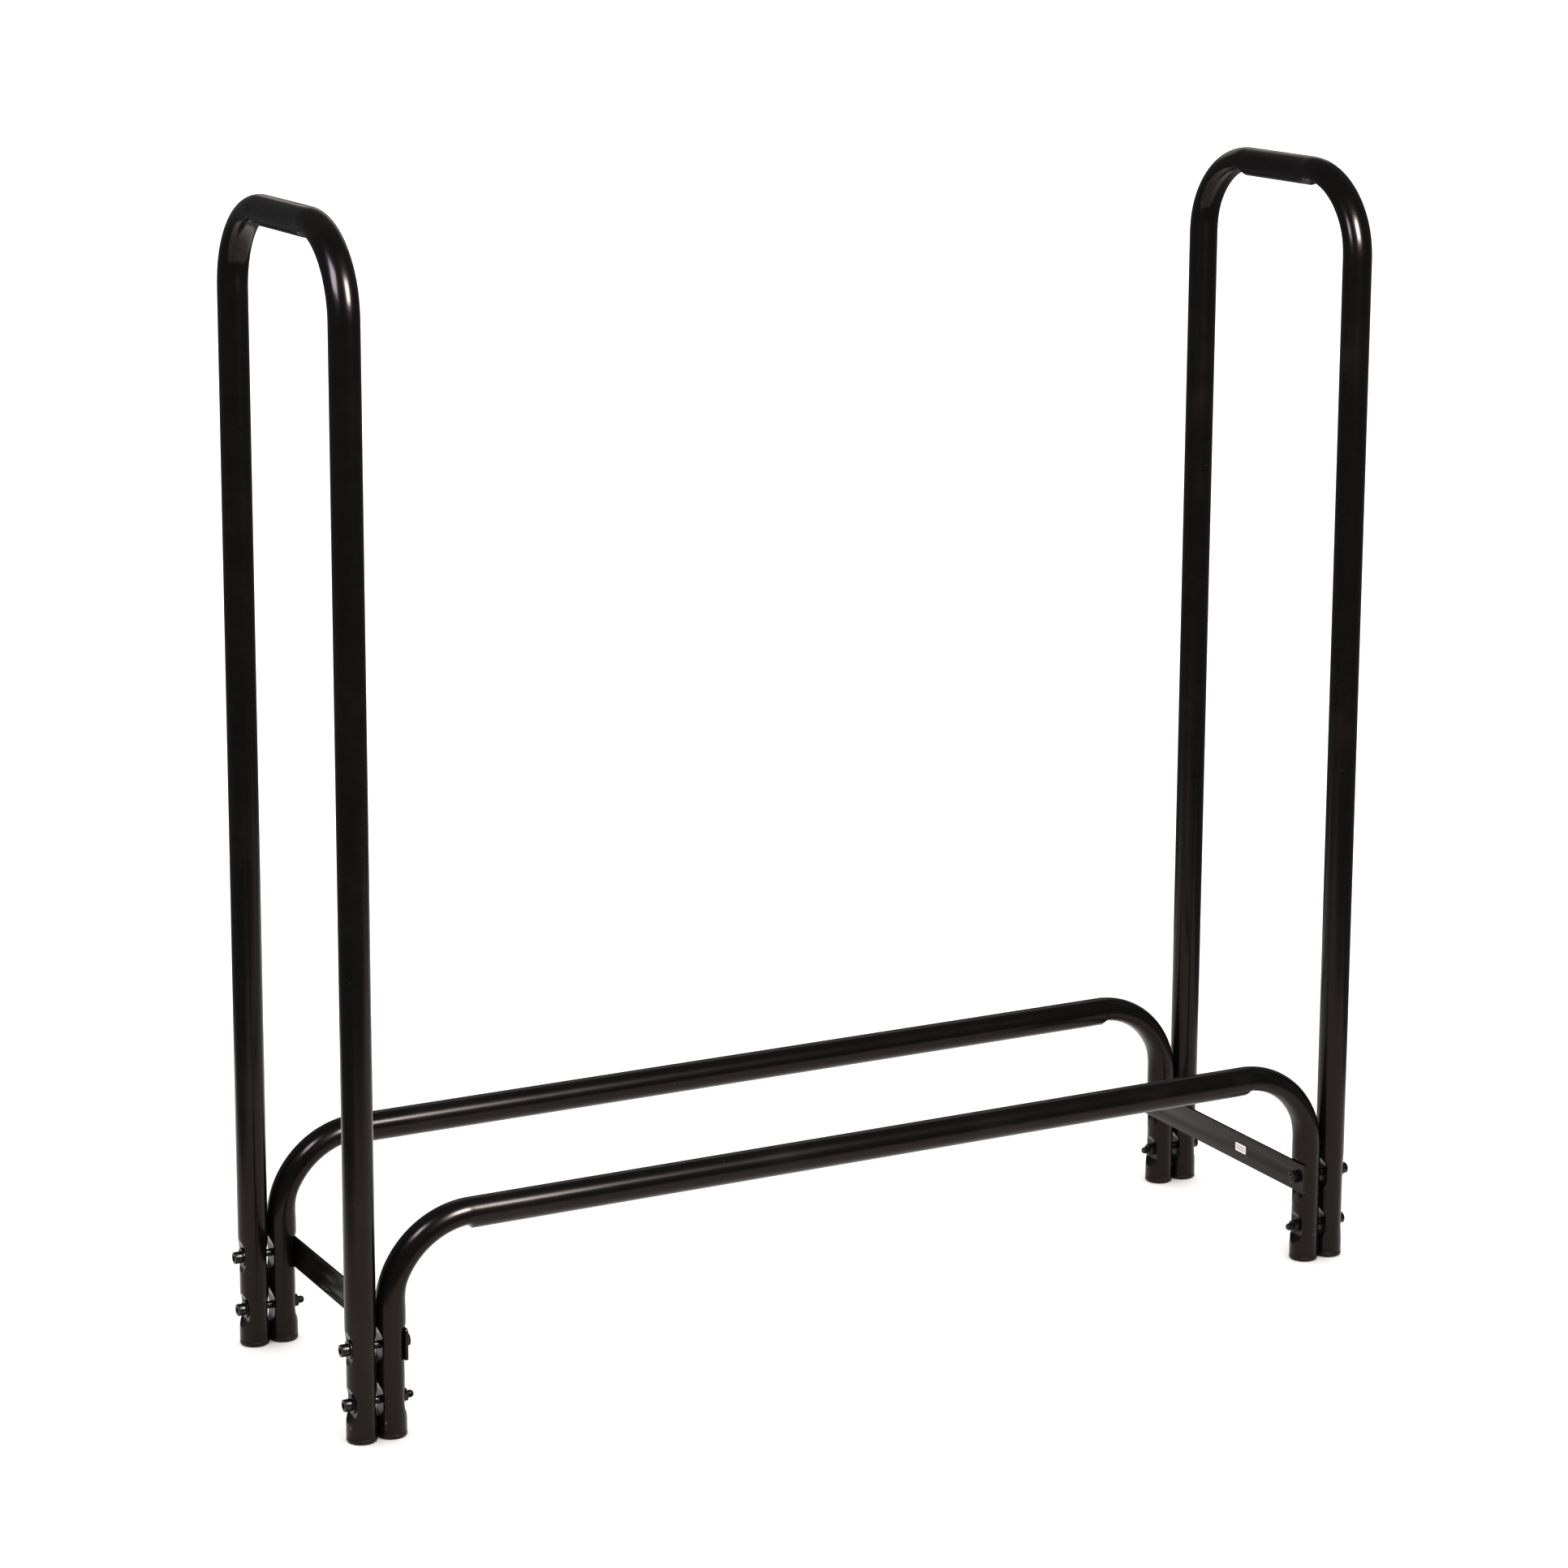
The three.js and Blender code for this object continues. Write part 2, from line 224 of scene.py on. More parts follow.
def lathe(outline, steps=64):
    """A closed turned body about Z, from an outline of (radius, height) points in metres."""
    bm = bmesh.new()
    verts = [bm.verts.new((r, 0, z)) for r, z in outline]
    edges = [bm.edges.new(pair) for pair in zip(verts, verts[1:])]
    if outline[0][0] > 0 and outline[-1][0] > 0:
        edges.append(bm.edges.new((verts[-1], verts[0])))
    bmesh.ops.spin(bm, geom=verts + edges, cent=(0, 0, 0), axis=(0, 0, 1), angle=math.tau,
                   steps=steps, use_merge=True, use_duplicate=False)
    closed(bm)
    return bm


def fillet(corner, before, after, radius, steps=5):
    """Points of a round between two outline directions, as (radius, height) pairs."""
    corner, before, after = Vector(corner), Vector(before), Vector(after)
    a, b = (before - corner).normalized(), (after - corner).normalized()
    half = math.acos(max(-1, min(1, a.dot(b)))) / 2
    reach = radius / math.tan(half)
    start, end = corner + a * reach, corner + b * reach
    centre = corner + (a + b).normalized() * radius / math.sin(half)
    points = []
    for i in range(steps + 1):
        t = i / steps
        points.append(tuple(centre + (start.lerp(end, t) - centre).normalized() * radius))
    return points


def piece_from(bm, name, replaced, material, sharp_angle=35):
    """Makes a finished piece of a bmesh: shaded smooth, named, riding on the rack and slotted."""
    mesh = bpy.data.meshes.new(name)
    for face in bm.faces:
        face.smooth = True
    for edge in sharp_edges(bm, sharp_angle):
        edge.smooth = False
    bm.to_mesh(mesh)
    bm.free()
    piece = bpy.data.objects.new(name, mesh)
    bpy.context.scene.collection.objects.link(piece)
    mesh.materials.append(material)
    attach(piece, "root")
    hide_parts(*replaced)
    return piece


def lay_along(bm, toward_right, place):
    """Lays a body made about Z down along X, its top facing right or left, at a place."""
    angle = math.pi / 2 if toward_right else -math.pi / 2
    rotate(bm, bm.verts, angle, "Y")
    bmesh.ops.translate(bm, vec=place, verts=bm.verts)


def cut_holes(bm, places, diameter):
    """Cuts round holes along X through a piece, with an applied boolean."""
    mesh = bpy.data.meshes.new("blank")
    bm.to_mesh(mesh)
    blank = bpy.data.objects.new("blank", mesh)
    cutter_bm = bmesh.new()
    for place, length in places:
        made = bmesh.ops.create_cone(cutter_bm, cap_ends=True, segments=48, radius1=diameter / 2,
                                     radius2=diameter / 2, depth=length)["verts"]
        rotate(cutter_bm, made, math.pi / 2, "Y")
        bmesh.ops.translate(cutter_bm, vec=place, verts=made)
    cutter_mesh = bpy.data.meshes.new("drill")
    cutter_bm.to_mesh(cutter_mesh)
    cutter_bm.free()
    drill = bpy.data.objects.new("drill", cutter_mesh)
    for o in (blank, drill):
        bpy.context.scene.collection.objects.link(o)
    cut = blank.modifiers.new("holes", "BOOLEAN")
    cut.operation = "DIFFERENCE"
    cut.solver = "EXACT"
    cut.object = drill
    bpy.context.view_layer.update()
    result = blank.evaluated_get(bpy.context.evaluated_depsgraph_get()).to_mesh()
    bm.clear()
    bm.from_mesh(result)
    for o in (blank, drill):
        bpy.data.objects.remove(o)
    bpy.data.meshes.remove(mesh)
    bpy.data.meshes.remove(cutter_mesh)


# ---------------------------------------------------------------- bent tubes

def leg_steps(low, high, bolt_heights):
    """Heights of the rings up a leg: close together where the bolts' dimples are."""
    fine, coarse, fine_reach = 1.25 * MM, 12 * MM, 28 * MM
    heights = [low]
    while heights[-1] < high - 1e-6:
        near = min(abs(heights[-1] - b) for b in bolt_heights)
        step = fine if near < fine_reach else coarse
        heights.append(min(heights[-1] + step, high))
    return heights


def bend_angles():
    """Angles of the rings round a quarter bend: closer together at the die's edges."""
    crowding = 1.1
    even = [i / BEND_STEPS for i in range(BEND_STEPS + 1)]
    crowded = [0.5 * (1 - math.cos(math.pi * t)) for t in even]
    return [(crowding * a + b) / (crowding + 1) * math.pi / 2 for a, b in zip(crowded, even)]


def bent_tube(half_span, foot, height, bolt_heights):
    """An inverted U of round tube in the XZ plane, with its feet at -X and +X."""
    radius, bend = sizes().tube_diameter / 2, sizes().bend_radius
    bm = bmesh.new()
    ring = bmesh.ops.create_circle(bm, cap_ends=False, radius=radius, segments=RING_SIDES)["verts"]
    bmesh.ops.translate(bm, vec=(-half_span, 0, foot), verts=ring)
    loop = bm.edges[:]
    heights = leg_steps(foot, height - bend, bolt_heights)
    for a, b in zip(heights, heights[1:]):
        loop = pull(bm, loop, (0, 0, b - a))
    angles = bend_angles()
    run = 2 * (half_span - bend)
    for a, b in zip(angles, angles[1:]):
        loop = turn(bm, loop, (-half_span + bend, 0, height - bend), (0, 1, 0), b - a)
    spans = max(4, round(run / (25 * MM)))
    for _ in range(spans):
        loop = pull(bm, loop, (run / spans, 0, 0))
    for a, b in zip(angles, angles[1:]):
        loop = turn(bm, loop, (half_span - bend, 0, height - bend), (0, 1, 0), b - a)
    down = list(reversed(heights))
    for a, b in zip(down, down[1:]):
        loop = pull(bm, loop, (0, 0, b - a))
    press_bends(bm, half_span - bend, height - bend)
    return bm


def press_bends(bm, centre_x, centre_z):
    """Presses the inside of both bends, as a bending die does: it fades into the leg, and ends in a
    step on the straight between the bends."""
    s = sizes()
    radius, bend = s.tube_diameter / 2, s.bend_radius
    arc = bend * math.pi / 2
    fade_in, fade_out = 42 * MM, 7 * MM
    for v in bm.verts:
        side = 1 if v.co.x > 0 else -1
        across, up = side * v.co.x - centre_x, v.co.z - centre_z
        if across < -1e-7 or up < -1e-7:
            continue
        along = bend * math.atan2(up, across)
        edge = smoothstep(along / fade_in) * smoothstep((arc - along) / fade_out)
        depth = s.bend_squash * edge
        reach = math.hypot(across, up)
        offset = reach - bend
        if offset < 0:
            # the press is deepest at the very inside of the bend and fades out towards its sides
            inside = -offset / radius
            moved = offset + depth * inside * (0.55 + 0.45 * inside)
            grow = (bend + moved) / reach
            v.co.x = side * (centre_x + across * grow)
            v.co.z = centre_z + up * grow
        v.co.y *= 1 + s.bend_widening * edge


def open_dimple_depths(braced):
    """Depth of the dimples on the open side of a leg, for the upper and the lower bolt: as deep as the
    hardware in them lies. On a rail leg that is the brace and the lower nut, on a hoop leg the washers."""
    if braced:
        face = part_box("front_rail")[1].x - sizes().tube_diameter
        return [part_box(f"right_{piece}")[1].x - face for piece in ("brace", "front_lower_nut")]
    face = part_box("right_hoop")[1].x
    return [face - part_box(f"right_front_{level}_washer")[0].x for level in ("upper", "lower")]


def press_dimples(bm, legs, bolt_heights, braced):
    """Presses an oval dimple into both X faces of each leg at each bolt, and presses the open side of
    the leg in between its bolts. Where a brace lies in the dimple, the wall is steeper."""
    s = sizes()
    radius = s.tube_diameter / 2
    rim = 0.5 * MM
    leg_reach = 1.2 * radius
    oval = 0.6  # an oval dimple's height over its width
    press_fade = 24 * MM
    upper, lower = max(bolt_heights), min(bolt_heights)
    open_depths = open_dimple_depths(braced)
    facing_depth = s.rail_dimple if braced else s.hoop_dimple
    for v in bm.verts:
        for leg_x, leg_y in legs:
            dx, dy = v.co.x - leg_x, v.co.y - leg_y
            if max(abs(dx), abs(dy)) > leg_reach or v.co.z > upper + s.dimple_height:
                continue
            inboard = dx * leg_x < 0
            fall = 0.0
            for height, open_depth in zip(bolt_heights, open_depths):
                away = math.hypot(oval * dy, v.co.z - height)
                slope = s.brace_slope if braced and inboard and height == upper else s.dimple_slope
                depth = open_depth if inboard == braced else facing_depth
                fall = max(fall, depth * smoothstep((s.dimple_height / 2 - away) / slope))
            to_bolts = max(lower - v.co.z, v.co.z - upper, 0.0)
            press = 0.0
            if inboard == braced:
                press = s.rail_press if braced else s.hoop_press
            nip = press * smoothstep(1 - to_bolts / press_fade)
            face = radius - max(fall, 1e-6)
            pressed = abs(dx) * (1 - nip / radius)
            # the rim between the round tube and the dimple is rounded only by the coat
            gap = pressed - face
            soft_gap = 0.5 * (gap + math.sqrt(gap * gap + rim * rim))
            over = soft_gap - 0.5 * rim * math.exp(-abs(gap) / rim)
            v.co.x = leg_x + math.copysign(pressed - (max(over, 0.0) if fall > 0 else 0.0), dx)


def finish_tube(bm, legs, bolt_heights, name, material, braced=False):
    """Dimples, wall thickness and bolt holes of one tube, and the piece made from it."""
    s = sizes()
    press_dimples(bm, legs, bolt_heights, braced)
    closed(bm)
    bmesh.ops.solidify(bm, geom=bm.faces[:], thickness=s.tube_wall)
    drilled = [((x, y, z), 1.4 * s.tube_diameter) for x, y in legs for z in bolt_heights]
    cut_holes(bm, drilled, s.hole_diameter)
    return piece_from(bm, name, [name.replace("tube_", "")], material, sharp_angle=50)


def bolt_heights():
    return [middle_of(f"left_front_{level}_bolt").z for level in ("upper", "lower")]


class RACK_OT_build_hoops(bpy.types.Operator):
    """Builds the two end hoops, each one steel tube bent twice and pressed flat at its bolts"""
    bl_idname = "rack.build_hoops"
    bl_label = "Build end hoops"

    def execute(self, context):
        material = powder_coat_material()
        radius = sizes().tube_diameter / 2
        for side in (LEFT, RIGHT):
            low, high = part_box(f"{side}_hoop")
            middle = (low + high) / 2
            half_span = (high.y - low.y) / 2 - radius
            bm = bent_tube(half_span, low.z, high.z - radius, bolt_heights())
            rotate(bm, bm.verts, math.pi / 2, "Z")
            bmesh.ops.translate(bm, vec=(middle.x, middle.y, 0), verts=bm.verts)
            legs = [(middle.x, middle.y - half_span), (middle.x, middle.y + half_span)]
            finish_tube(bm, legs, bolt_heights(), f"tube_{side}_hoop", material)
        return {"FINISHED"}


class RACK_OT_build_rails(bpy.types.Operator):
    """Builds the two base rails, each one steel tube with its ends bent down into legs"""
    bl_idname = "rack.build_rails"
    bl_label = "Build base rails"

    def execute(self, context):
        material = powder_coat_material()
        radius = sizes().tube_diameter / 2
        for end in (FRONT, REAR):
            low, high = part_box(f"{end}_rail")
            middle = (low + high) / 2
            half_span = (high.x - low.x) / 2 - radius
            bm = bent_tube(half_span, low.z, high.z - radius, bolt_heights())
            bmesh.ops.translate(bm, vec=(middle.x, middle.y, 0), verts=bm.verts)
            legs = [(middle.x - half_span, middle.y), (middle.x + half_span, middle.y)]
            finish_tube(bm, legs, bolt_heights(), f"tube_{end}_rail", material, braced=True)
        return {"FINISHED"}


# ---------------------------------------------------------------- braces, caps, label

class RACK_OT_build_braces(bpy.types.Operator):
    """Builds the flat bar that ties the front and rear rail legs together at each end"""
    bl_idname = "rack.build_braces"
    bl_label = "Build braces"

    def execute(self, context):
        material = powder_coat_material()
        for side in (LEFT, RIGHT):
            low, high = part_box(f"{side}_brace")
            middle = (low + high) / 2
            bm = rounded_plate(high - low, sizes().brace_corner, 8)
            bmesh.ops.translate(bm, vec=middle, verts=bm.verts)
            bolt_ys = [middle_of(f"{side}_{end}_upper_bolt").y for end in (FRONT, REAR)]
            drilled = [((middle.x, y, bolt_heights()[0]), 20 * MM) for y in bolt_ys]
            cut_holes(bm, drilled, sizes().hole_diameter)
            bevel(bm, sharp_edges(bm, 60), 0.45 * MM, 3)
            piece_from(bm, f"flat_bar_{side}", [f"{side}_brace"], material)
        return {"FINISHED"}


class RACK_OT_build_foot_caps(bpy.types.Operator):
    """Builds the eight moulded caps that close the feet, each with the plug that grips the tube"""
    bl_idname = "rack.build_foot_caps"
    bl_label = "Build foot caps"

    def execute(self, context):
        s = sizes()
        material = foot_cap_material()
        radius = s.tube_diameter / 2
        inner = radius - s.tube_wall - 0.15 * MM
        rim_top = s.cap_rim
        plug_wall, plug_taper, floor_thickness = 1.6 * MM, 0.8 * MM, 2.5 * MM
        ribs, rib_depth, rib_slope = 3, 0.5 * MM, 0.8 * MM
        for side, end in CORNERS:
            for kind in ("hoop", "rail"):
                node = f"{side}_{end}_{kind}_foot_cap"
                low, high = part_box(node)
                middle = (low + high) / 2
                top = high.z - low.z
                outline = [(0, 0), (radius - 4.5 * MM, 0), (radius - 4.3 * MM, 0)]
                outline += fillet((radius, 0), (0, 0), (radius, rim_top), s.cap_round, 6)
                outline += fillet((radius, rim_top), (radius, 0), (0, rim_top), 0.35 * MM, 3)
                outline += [(inner, rim_top)]
                for i in range(ribs):
                    z = rim_top + (i + 0.6) * (top - rim_top) / (ribs + 0.6)
                    valley = inner - rib_depth
                    outline += [(valley, z - rib_slope), (inner, z), (valley, z + rib_slope)]
                hollow = inner - plug_taper - plug_wall
                outline += [(inner - plug_taper, top), (hollow, top)]
                outline += [(hollow, floor_thickness), (0, floor_thickness)]
                bm = lathe(outline, 64)
                bmesh.ops.translate(bm, vec=(middle.x, middle.y, low.z), verts=bm.verts)
                piece_from(bm, f"cap_{side}_{end}_{kind}", [node], material, sharp_angle=32)
        return {"FINISHED"}


class RACK_OT_build_label(bpy.types.Operator):
    """Builds the small printed label on the inner face of the right brace"""
    bl_idname = "rack.build_label"
    bl_label = "Build label"

    def execute(self, context):
        low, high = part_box("brace_label")
        size, middle = high - low, (low + high) / 2
        bm = rounded_plate(size, 0.9 * MM, 5)
        bevel(bm, sharp_edges(bm, 60), 0.06 * MM, 1)
        bmesh.ops.translate(bm, vec=middle, verts=bm.verts)
        piece_from(bm, "label_plate", ["brace_label"], label_material(middle, size))
        return {"FINISHED"}


# ---------------------------------------------------------------- bolts, washers, nuts

def hexagon_ring(verts, width):
    """Moves a ring of vertices out to a hexagon of that width across its flats, at its own height."""
    for v in verts:
        angle = math.atan2(v.co.y, v.co.x)
        fold = (angle % (math.pi / 3)) - math.pi / 6
        reach = width / 2 / math.cos(fold)
        v.co.x, v.co.y = reach * math.cos(angle), reach * math.sin(angle)


def ring_of(edges):
    return list({v for e in edges for v in e.verts})


def set_radius(verts, radius):
    for v in verts:
        angle = math.atan2(v.co.y, v.co.x)
        v.co.x, v.co.y = radius * math.cos(angle), radius * math.sin(angle)


def set_height(verts, height):
    for v in verts:
        v.co.z = height


def next_ring(bm, edges, height, radius=None, hexagon=None):
    """Extrudes a ring to a new height, as a circle or as a hexagon."""
    edges = pull(bm, edges, (0, 0, 0))
    verts = ring_of(edges)
    set_height(verts, height)
    if hexagon:
        hexagon_ring(verts, hexagon)
    else:
        set_radius(verts, radius)
    return edges


def socket_bolt(length, tip):
    """A socket head bolt about Z: its head on top, its head's underside at height 0."""
    s = sizes()
    shank, head = s.bolt_diameter / 2, s.head_diameter / 2
    bm = bmesh.new()
    bmesh.ops.create_circle(bm, cap_ends=False, radius=head - 0.25 * MM, segments=48)
    under = bm.edges[:]
    ring = next_ring(bm, under, 0.25 * MM, head)
    ring = next_ring(bm, ring, s.head_height - 0.9 * MM, head)
    ring = next_ring(bm, ring, s.head_height - 0.45 * MM, head - 0.18 * MM)
    ring = next_ring(bm, ring, s.head_height - 0.12 * MM, head - 0.55 * MM)
    ring = next_ring(bm, ring, s.head_height, head - 1.0 * MM)
    ring = next_ring(bm, ring, s.head_height, s.socket_width / math.sqrt(3) + 0.35 * MM)
    ring = next_ring(bm, ring, s.head_height - 0.45 * MM, hexagon=s.socket_width)
    ring = next_ring(bm, ring, s.head_height - s.socket_depth, hexagon=s.socket_width)
    ring = next_ring(bm, ring, s.head_height - s.socket_depth - 0.9 * MM, radius=0.5 * MM)
    bmesh.ops.contextual_create(bm, geom=ring)
    # the shank runs down from the head's underside, and stays plain until the thread starts
    ring = next_ring(bm, under, 0, shank + 0.4 * MM)
    ring = next_ring(bm, ring, -0.4 * MM, shank)
    thread_length = 24 * MM
    ring = next_ring(bm, ring, -(length - thread_length), shank)
    pitch = s.thread_pitch
    root = shank - 0.61 * pitch
    z = -(length - thread_length)
    ring = next_ring(bm, ring, z - 0.4 * pitch, root)
    z -= 0.5 * pitch
    # each ridge: up its flank, along its crest, down to the root
    while z - pitch > -length + tip + 0.3 * MM:
        ring = next_ring(bm, ring, z - 0.38 * pitch, shank - 0.03 * MM)
        ring = next_ring(bm, ring, z - 0.56 * pitch, shank - 0.03 * MM)
        ring = next_ring(bm, ring, z - 0.94 * pitch, root)
        z -= pitch
    ring = next_ring(bm, ring, -length + tip, shank - 0.35 * MM)
    ring = next_ring(bm, ring, -length + 0.35 * tip, shank - 1.0 * MM)
    ring = next_ring(bm, ring, -length, shank - 1.7 * MM)
    bmesh.ops.contextual_create(bm, geom=ring)
    closed(bm)
    return bm


def hexagon_nut(width, height, bore):
    """A hexagon nut about Z, standing on height 0, its corners turned off at 30 degrees."""
    bearing = 0.475 * width
    slope = math.tan(math.radians(30))
    bm = bmesh.new()
    bmesh.ops.create_circle(bm, cap_ends=False, radius=bearing, segments=96)
    first = bm.edges[:]

    def turn_corners(edges, level, sign):
        for v in ring_of(edges):
            reach = math.hypot(v.co.x, v.co.y)
            v.co.z = level + sign * slope * max(reach - bearing, 0)

    ring = next_ring(bm, first, 0, hexagon=width)
    turn_corners(ring, 0, 1)
    ring = pull(bm, ring, (0, 0, 0))
    turn_corners(ring, height, -1)
    ring = next_ring(bm, ring, height, bearing)
    ring = next_ring(bm, ring, height, bore + 0.6 * MM)
    ring = next_ring(bm, ring, height - 0.6 * MM, bore)
    ring = next_ring(bm, ring, 0.6 * MM, bore)
    ring = next_ring(bm, ring, 0, bore + 0.6 * MM)
    bmesh.ops.bridge_loops(bm, edges=ring + first)
    closed(bm)
    return bm


def fastener_places():
    """Every bolt's name stem, and whether it lies at the rack's right end."""
    for side, end in CORNERS:
        for level in ("upper", "lower"):
            yield f"{side}_{end}_{level}", side == RIGHT


class RACK_OT_build_bolts(bpy.types.Operator):
    """Builds the eight socket head bolts, their heads on the outside"""
    bl_idname = "rack.build_bolts"
    bl_label = "Build bolts"

    def execute(self, context):
        material = hardware_material()
        for index, (stem, right) in enumerate(fastener_places()):
            low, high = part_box(f"{stem}_bolt")
            length = (high.x - low.x) - sizes().head_height
            bm = socket_bolt(length, 1.6 * MM)
            # an angle of its own for each bolt, so no two sockets stand alike
            rotate(bm, bm.verts, math.radians(37 * index), "Z")
            under_head = high.x - sizes().head_height if right else low.x + sizes().head_height
            lay_along(bm, right, (under_head, (low.y + high.y) / 2, (low.z + high.z) / 2))
            piece_from(bm, f"socket_bolt_{stem}", [f"{stem}_bolt"], material, 28)
        return {"FINISHED"}


class RACK_OT_build_washers(bpy.types.Operator):
    """Builds the eight flat washers under the bolt heads"""
    bl_idname = "rack.build_washers"
    bl_label = "Build washers"

    def execute(self, context):
        material = hardware_material()
        for stem, right in fastener_places():
            low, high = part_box(f"{stem}_washer")
            outer, thick = (high.z - low.z) / 2, high.x - low.x
            bore = sizes().bolt_diameter / 2 + 0.2 * MM
            soft = 0.3 * MM
            outline = [(bore, 0.1 * MM), (bore, thick - 0.1 * MM), (bore + 0.1 * MM, thick)]
            outline += fillet((outer, thick), (bore, thick), (outer, 0), 1.6 * soft, 4)
            outline += fillet((outer, 0), (outer, thick), (bore, 0), 0.6 * soft, 3)
            outline += [(bore + 0.1 * MM, 0)]
            bm = lathe(outline, 72)
            middle = (low + high) / 2
            lay_along(bm, right, (low.x if right else high.x, middle.y, middle.z))
            piece_from(bm, f"flat_washer_{stem}", [f"{stem}_washer"], material, 40)
        return {"FINISHED"}


class RACK_OT_build_nuts(bpy.types.Operator):
    """Builds the eight hexagon nuts on the inside"""
    bl_idname = "rack.build_nuts"
    bl_label = "Build nuts"

    def execute(self, context):
        material = hardware_material()
        for stem, right in fastener_places():
            low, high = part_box(f"{stem}_nut")
            middle = (low + high) / 2
            bore = sizes().bolt_diameter / 2 - 0.3 * MM
            bm = hexagon_nut(sizes().nut_width, high.x - low.x, bore)
            lay_along(bm, not right, (high.x if right else low.x, middle.y, middle.z))
            piece_from(bm, f"hexagon_nut_{stem}", [f"{stem}_nut"], material, 25)
        return {"FINISHED"}


# ---------------------------------------------------------------- materials

def add_node(tree, kind, settings=None, links=None, **inputs):
    """Adds a node: settings are its properties, inputs its socket values, links feed its sockets."""
    node = tree.nodes.new(kind)
    for key, value in (settings or {}).items():
        setattr(node, key, value)
    for key, value in inputs.items():
        node.inputs[key.replace("_", " ")].default_value = value
    for key, source in (links or {}).items():
        tree.links.new(source, node.inputs[key])
    return node


def new_material(name):
    """A material with only its shader and output, its tree and the shader."""
    material = bpy.data.materials.new(name)
    material.use_nodes = True
    tree = material.node_tree
    tree.nodes.clear()
    shader = tree.nodes.new("ShaderNodeBsdfPrincipled")
    output = tree.nodes.new("ShaderNodeOutputMaterial")
    tree.links.new(shader.outputs["BSDF"], output.inputs["Surface"])
    return material, tree, shader


def grain(size_mm):
    """Noise scale that gives blobs of about that size, for Object coordinates in metres."""
    return 1000 / size_mm / 1.6


def ramp(tree, source, low, high):
    """A factor from 0 to 1 as source goes from low to high, softly."""
    node = add_node(tree, "ShaderNodeMapRange", {"interpolation_type": "SMOOTHSTEP", "clamp": True},
                    {"Value": source}, From_Min=low, From_Max=high, To_Min=0.0, To_Max=1.0)
    return node.outputs["Result"]


def maths(tree, operation, first, second=0):
    """One sum of one or two sockets or numbers."""
    node = tree.nodes.new("ShaderNodeMath")
    node.operation = operation
    for socket, value in zip(node.inputs, (first, second)):
        if isinstance(value, (int, float)):
            socket.default_value = value
        else:
            tree.links.new(value, socket)
    return node.outputs["Value"]


def mix_colour(tree, factor, first, second):
    """Blends two colours, each a socket or a linear colour, by a factor."""
    node = tree.nodes.new("ShaderNodeMix")
    node.data_type = "RGBA"
    for key, value in (("Factor", factor), ("A", first), ("B", second)):
        wanted = "VALUE" if key == "Factor" else "RGBA"
        socket = next(i for i in node.inputs if i.name == key and i.type == wanted)
        if isinstance(value, bpy.types.NodeSocket):
            tree.links.new(value, socket)
        else:
            socket.default_value = value
    return next(o for o in node.outputs if o.type == "RGBA")


def noise_of(tree, place, size_mm, detail=2.0, roughness=0.5):
    node = add_node(tree, "ShaderNodeTexNoise", None, {"Vector": place}, Scale=grain(size_mm),
                    Detail=detail, Roughness=roughness)
    return node.outputs["Fac"]


def specks_of(tree, place, spacing_mm, size_mm, share):
    """Small round specks, one in a share of the cells of that spacing."""
    cells = add_node(tree, "ShaderNodeTexVoronoi", {"feature": "F1"}, {"Vector": place},
                     Scale=1000 / spacing_mm)
    near = ramp(tree, cells.outputs["Distance"], size_mm / spacing_mm, 0.35 * size_mm / spacing_mm)
    chance = add_node(tree, "ShaderNodeSeparateColor", None, {"Color": cells.outputs["Color"]})
    chosen = maths(tree, "LESS_THAN", chance.outputs["Red"], share)
    return maths(tree, "MULTIPLY", near, chosen)


